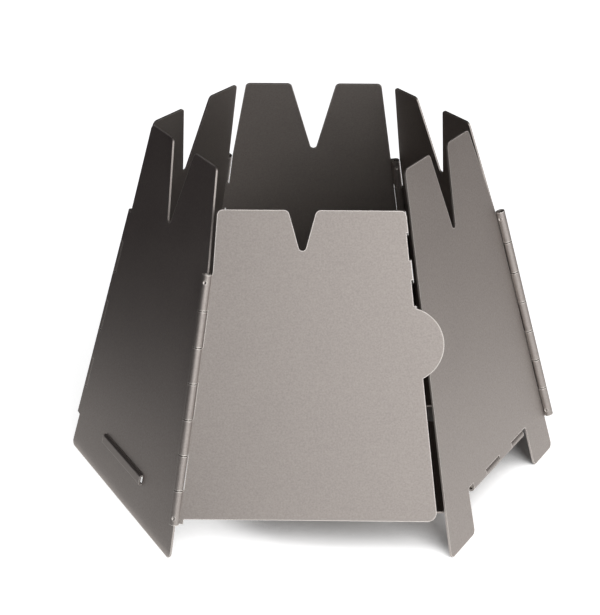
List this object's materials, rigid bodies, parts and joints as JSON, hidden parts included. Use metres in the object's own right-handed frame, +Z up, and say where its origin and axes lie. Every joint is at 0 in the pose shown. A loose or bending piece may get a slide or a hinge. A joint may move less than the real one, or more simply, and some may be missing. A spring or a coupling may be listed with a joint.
{
  "type": "folding wood stove",
  "caption": "Folding backpacking wood stove: leaning sheet walls with notched rims, rolled pin hinges, a swinging door with a disc tab and a vented hinged floor.",
  "frame": {"origin": "on the stove's upright middle axis, on the ground that its walls stand on", "axes": "+Z up; -Y out through the door; +X to the right of someone who faces the door"},
  "size_m": [0.146, 0.1279, 0.1021],
  "materials": {
    "titanium_sheet": "bare titanium sheet, fine blasted grey",
    "titanium_wire": "bare drawn titanium wire"
  },
  "bodies": {
    "front_right": {"front_right_panel": "titanium_sheet", "right_hinge_pin": "titanium_wire", "floor_hinge_pin": "titanium_wire"},
    "back_right": {"back_right_panel": "titanium_sheet"},
    "back": {"back_panel": "titanium_sheet", "back_right_hinge_pin": "titanium_wire"},
    "back_left": {"back_left_panel": "titanium_sheet", "back_left_hinge_pin": "titanium_wire"},
    "front_left": {"front_left_panel": "titanium_sheet", "left_hinge_pin": "titanium_wire", "door_hinge_pin": "titanium_wire"},
    "door": {"door_panel": "titanium_sheet"},
    "floor": {"floor_plate": "titanium_sheet"}
  },
  "joints": [
    {"name": "wall_fold", "type": "hinge", "parent": "front_right", "child": "back_right", "pos_m": [0.06278, 0, 0.04367], "axis": [0.2719, 0, -0.9623], "range_deg": [0, 235]},
    {"name": "back_right_fold", "type": "hinge", "parent": "back_right", "child": "back", "pos_m": [0.03023, 0.05236, 0.04302], "axis": [-0.136, -0.2355, 0.9623], "range_deg": [0, 119.6]},
    {"name": "back_left_fold", "type": "hinge", "parent": "back", "child": "back_left", "pos_m": [-0.03139, 0.05437, 0.04367], "axis": [-0.136, 0.2355, -0.9623], "range_deg": [0, 235.1]},
    {"name": "front_left_fold", "type": "hinge", "parent": "back_left", "child": "front_left", "pos_m": [-0.06046, 0, 0.04302], "axis": [0.2719, 0, 0.9623], "range_deg": [0, 119.6]},
    {"name": "door_fold", "type": "hinge", "parent": "front_left", "child": "door", "pos_m": [-0.03139, -0.05437, 0.04367], "axis": [-0.136, -0.2355, -0.9623], "range_deg": [0, 232.1]},
    {"name": "floor_lift", "type": "hinge", "parent": "front_right", "child": "floor", "pos_m": [0.05204, -0.03004, 0.01147], "axis": [0.5, 0.866, 0], "range_deg": [0, 74.1]}
  ],
  "couplings": [
    {"joint": "back_right_fold", "follows": "wall_fold", "ratio": 0.50851},
    {"joint": "back_left_fold", "follows": "wall_fold", "ratio": 1},
    {"joint": "front_left_fold", "follows": "wall_fold", "ratio": 0.50851},
    {"joint": "door_fold", "follows": "wall_fold", "ratio": 0.98723},
    {"joint": "floor_lift", "follows": "wall_fold", "ratio": 0.31489}
  ]
}
